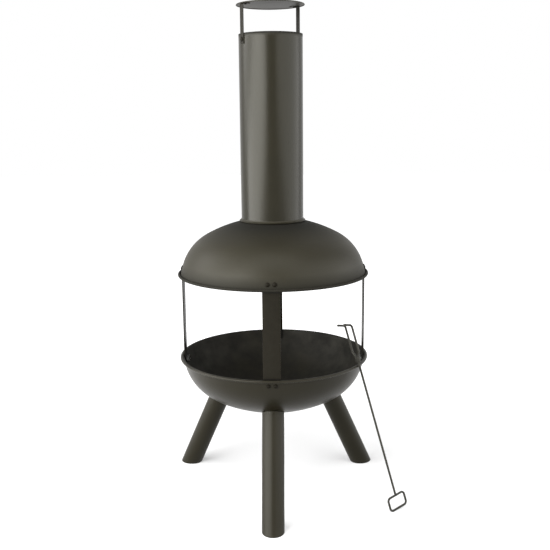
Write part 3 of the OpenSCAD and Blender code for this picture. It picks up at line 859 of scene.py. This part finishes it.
def coat_finish(name, colour, gloss, roughness, rub, soot, groups, relief=0.00009):
    """Heat-proof powder coat: grainy satin paint, paler where edges are rubbed, black with soot
    inside, with painted shade where the inside value marks the uprights beside the dish lips, and
    darkened by a soot stain on the pipe and by painted shade on the dome, as the piece's values say.
    rub and soot say how strongly the edges are worn and the inside is sooted or painted with shade,
    and relief is the depth of the grain in metres."""
    finish, tree, surface = new_finish(name)
    surface.inputs["Specular IOR Level"].default_value = gloss
    surface.inputs["Specular Tint"].default_value = GLOSS_TINT
    place = add(tree, "TexCoord").outputs["Object"]
    grain = use_group(tree, groups["grain"])
    edges = use_group(tree, groups["rub"], Amount=rub)
    smoke = use_group(tree, groups["soot"], Amount=soot)
    toned = tree.nodes.new("ShaderNodeVectorMath")
    toned.operation = "SCALE"
    toned.inputs[0].default_value = colour
    painted = mix(tree, edges.outputs["Mask"], toned.outputs[0], (*WORN_COAT, 1))
    # Soot inside the dishes, and painted shade beside the dish lips on the uprights
    sooty_and_shaded = mix(tree, smoke.outputs["Mask"], painted, SOOT_AND_SHADE)
    # The pipe's soot stain, and painted shade on the dome's crown and above its lip
    stain = add(tree, "Attribute", attribute_name="smoke")
    stained_and_shaded = mix(tree, stain.outputs["Fac"], sooty_and_shaded, SMOKE_STAIN_AND_SHADE)
    either = add(tree, "Math", operation="MAXIMUM")
    duller = add(tree, "MapRange", From_Min=0.0, From_Max=1.0, To_Min=roughness, To_Max=SOOT_ROUGHNESS)
    bump = add(tree, "Bump", Strength=1.0, Distance=relief)
    wire_up(
        tree, (place, grain.inputs[0]), (place, edges.inputs[0]), (place, smoke.inputs[0]),
        (grain.outputs["Tone"], toned.inputs["Scale"]), (stained_and_shaded, surface.inputs["Base Color"]),
        (smoke.outputs["Mask"], either.inputs[0]), (stain.outputs["Fac"], either.inputs[1]),
        (either.outputs[0], duller.inputs["Value"]), (duller.outputs[0], surface.inputs["Roughness"]),
        (grain.outputs["Height"], bump.inputs["Height"]), (bump.outputs[0], surface.inputs["Normal"]),
    )
    return finish


def zinc_finish():
    """Zinc-plated steel: pale grey metal with cloudy tone and roughness."""
    finish, tree, surface = new_finish("zinc_plate")
    surface.inputs["Metallic"].default_value = 1.0
    place = add(tree, "TexCoord").outputs["Object"]
    cloud = add(tree, "TexNoise", Scale=260.0, Detail=4.0, Roughness=0.6)
    tone = add(tree, "ValToRGB")
    stops = ((0.3, (0.33, 0.33, 0.32, 1)), (0.7, (0.52, 0.52, 0.50, 1)))
    for element, (position, colour) in zip(tone.color_ramp.elements, stops):
        element.position, element.color = position, colour
    dull = add(tree, "MapRange", From_Min=0.3, From_Max=0.7, To_Min=0.32, To_Max=0.5)
    wire_up(
        tree, (place, cloud.inputs["Vector"]), (cloud.outputs["Fac"], tone.inputs["Fac"]),
        (tone.outputs["Color"], surface.inputs["Base Color"]),
        (cloud.outputs["Fac"], dull.inputs["Value"]), (dull.outputs[0], surface.inputs["Roughness"]),
    )
    return finish


def make_finishes():
    """Every finish by its record slot, and those of the pipe and the legs by name."""
    groups = {"grain": coat_grain_group(), "rub": edge_rub_group(), "soot": soot_and_shade_group()}
    shell, pipe = (0.0118, 0.0101, 0.0052), (0.0085, 0.0073, 0.0036)
    bowl, bar = (0.0096, 0.0081, 0.0042), (0.0066, 0.0055, 0.0034)
    bolt, steel = (0.0060, 0.0050, 0.0030), (0.026, 0.025, 0.021)
    return {
        "coat_shell": coat_finish("dome_coat", shell, 0.19, 0.46, 0.12, 0.6, groups),
        "pipe": coat_finish("pipe_coat", pipe, 0.21, 0.27, 0.3, 0.6, groups),
        "coat_bowl": coat_finish("bowl_coat", bowl, 0.16, 0.34, 0.15, 0.8, groups),
        # The frame coat's soot amount also sets the painted lip shade on the uprights
        "coat_frame": coat_finish("frame_coat", bar, 0.085, 0.40, 0.3, 0.95, groups),
        "legs": coat_finish("leg_coat", bowl, 0.15, 0.42, 0.3, 0.0, groups),
        "bolt_black": coat_finish("bolt_black", bolt, 0.06, 0.45, 0.0, 0.0, groups, 0.00003),
        "zinc": zinc_finish(),
        "poker_steel": coat_finish("poker_coat", steel, 0.14, 0.40, 0.0, 0.0, groups, 0.00004),
    }


# Studio

LENS = 53.54
CAMERA_DISTANCE = 1.97768
CAMERA_Z = 0.91906
CAMERA_AROUND = 0.0215
CAMERA_PAN = -0.0024
CAMERA_DOWN = 0.1885
CAMERA_ROLL = -0.0100
LAMP_AIM_Z = 0.65
FLOOR_HALF = 12.0


def place_camera():
    """The camera stands in front of the stove, at the height of its pipe, and looks down a little.
    It is CAMERA_AROUND to the right of the front, in radians, as its other angles are."""
    lens = bpy.data.cameras.new("camera")
    lens.lens = LENS
    lens.sensor_width = 36
    camera = bpy.data.objects.new("camera", lens)
    across = CAMERA_DISTANCE * math.sin(CAMERA_AROUND)
    back = AXIS[1] - CAMERA_DISTANCE * math.cos(CAMERA_AROUND)
    camera.matrix_world = (
        Matrix.Translation((across, back, CAMERA_Z))
        @ Matrix.Rotation(CAMERA_AROUND + CAMERA_PAN, 4, "Z")
        @ Matrix.Rotation(math.pi / 2 - CAMERA_DOWN, 4, "X") @ Matrix.Rotation(CAMERA_ROLL, 4, "Z")
    )
    bpy.context.scene.collection.objects.link(camera)
    bpy.context.scene.camera = camera


def softbox(name, azimuth, elevation, distance, width, height, power, roll=0):
    """An area lamp aimed at the middle of the stove, turned about its aim by roll. Azimuth 0 is the
    camera's side, and positive ones are to its right. All angles are in degrees."""
    lamp = bpy.data.lights.new(name, "AREA")
    lamp.shape = "RECTANGLE"
    lamp.size, lamp.size_y, lamp.energy = width, height, power
    box = bpy.data.objects.new(name, lamp)
    a, e = math.radians(azimuth), math.radians(elevation)
    aim = Matrix.Rotation(a, 4, "Z") @ Matrix.Rotation(math.pi / 2 - e, 4, "X")
    out = Matrix.Translation((0, 0, distance)) @ Matrix.Rotation(math.radians(roll), 4, "Z")
    box.matrix_world = Matrix.Translation((*AXIS[:2], LAMP_AIM_Z)) @ aim @ out
    bpy.context.scene.collection.objects.link(box)


def seen_directly(tree):
    """1 for camera, glossy and transmission rays, 0 for the rays that light the stove."""
    path = add(tree, "LightPath")
    first = add(tree, "Math", operation="MAXIMUM")
    second = add(tree, "Math", operation="MAXIMUM")
    wire_up(
        tree, (path.outputs["Is Camera Ray"], first.inputs[0]),
        (path.outputs["Is Glossy Ray"], first.inputs[1]), (first.outputs[0], second.inputs[0]),
        (path.outputs["Is Transmission Ray"], second.inputs[1]),
    )
    return second.outputs[0]


def white_world():
    """White surroundings that light the stove only weakly."""
    world = bpy.data.worlds.new("studio")
    bpy.context.scene.world = world
    world.use_nodes = True
    tree = world.node_tree
    background = tree.nodes["Background"]
    background.inputs["Color"].default_value = (1, 1, 1, 1)
    level = add(tree, "MapRange", To_Min=0.15, To_Max=1.0)
    wire_up(
        tree, (seen_directly(tree), level.inputs["Value"]),
        (level.outputs[0], background.inputs["Strength"]),
    )


def paper_finish():
    """Matt paper that keeps the stove's shadow. A glow that rises with the distance from the stove's
    axis, and lights nothing, lifts it to the white of the surroundings."""
    paper = bpy.data.materials.new("floor_paper")
    paper.use_nodes = True
    tree = paper.node_tree
    tree.nodes.clear()
    matt = add(tree, "BsdfDiffuse", Color=(0.6, 0.6, 0.6, 1))
    lift = add(tree, "Emission")
    lifted = add(tree, "Math", operation="MULTIPLY")
    reach = add(tree, "VectorMath", operation="DISTANCE")
    reach.inputs[1].default_value = AXIS
    fade = add(tree, "MapRange", From_Min=0.35, From_Max=1.6, To_Min=0.33, To_Max=0.99)
    both = add(tree, "AddShader")
    out = add(tree, "OutputMaterial")
    wire_up(
        tree, (add(tree, "TexCoord").outputs["Object"], reach.inputs[0]),
        (reach.outputs["Value"], fade.inputs["Value"]), (seen_directly(tree), lifted.inputs[0]),
        (fade.outputs[0], lifted.inputs[1]), (lifted.outputs[0], lift.inputs["Strength"]),
        (matt.outputs[0], both.inputs[0]), (lift.outputs[0], both.inputs[1]),
        (both.outputs[0], out.inputs["Surface"]),
    )
    return paper


def studio():
    """White surroundings, soft lamps, and a pale floor."""
    white_world()
    softbox("key_left", -56, 4, 2.4, 4.0, 1.4, 164, roll=24)
    softbox("rim_left", -98, 18, 2.4, 1.2, 1.4, 15)
    softbox("high_left", -70, 33, 2.4, 3.8, 1.6, 62)
    softbox("fill_right", 70, 14, 2.2, 4.8, 2.0, 86, roll=-20)
    softbox("top_front", 0, 58, 2.4, 2.4, 1.4, 36)

    mesh = bpy.data.meshes.new("floor")
    half = FLOOR_HALF
    corners = [(-half, -half, 0), (half, -half, 0), (half, half, 0), (-half, half, 0)]
    mesh.from_pydata(corners, [], [(0, 1, 2, 3)])
    mesh.materials.append(paper_finish())
    floor = bpy.data.objects.new("floor", mesh)
    bpy.context.scene.collection.objects.link(floor)

    bpy.context.scene.view_settings.view_transform = "Standard"


def build_stove(finishes):
    """Every shown piece, and the finishes of the CAD pieces that stay."""
    dish("bowl", BOWL_RIM_Z, -1, 0, finishes["coat_bowl"])
    dish("dome", DOME_RIM_Z, 1, NECK_R + HOLE_GAP, finishes["coat_shell"])
    for side, turn in UPRIGHT_TURNS.items():
        upright_bar(side, turn, finishes["coat_frame"])
    for side, turn in STRAP_TURNS.items():
        strap_bar(side, turn, finishes["coat_frame"])
    for side, turn in LEG_TURNS.items():
        leg_tube(side, turn, finishes["legs"])
    chimney_tube(finishes["pipe"])
    foot_ring(finishes["coat_shell"])
    dome_neck(finishes["coat_frame"])
    rain_cap(finishes["coat_shell"])
    wall_bolts("bowl_bolts", -1, BOWL_RIM_Z, finishes["bolt_black"])
    wall_bolts("dome_bolts", 1, DOME_RIM_Z, finishes["bolt_black"])
    strap_bolts(finishes["bolt_black"])
    cap_rivets(finishes["bolt_black"])
    poker(finishes["poker_steel"])
    slots = {part["node"]: part["material_slot"] for part in frame["record"]["subparts"]}
    for node, piece in frame["nodes"].items():
        piece.data.materials.clear()
        piece.data.materials.append(finishes[slots[node]])


place_camera()
studio()
build_stove(make_finishes())
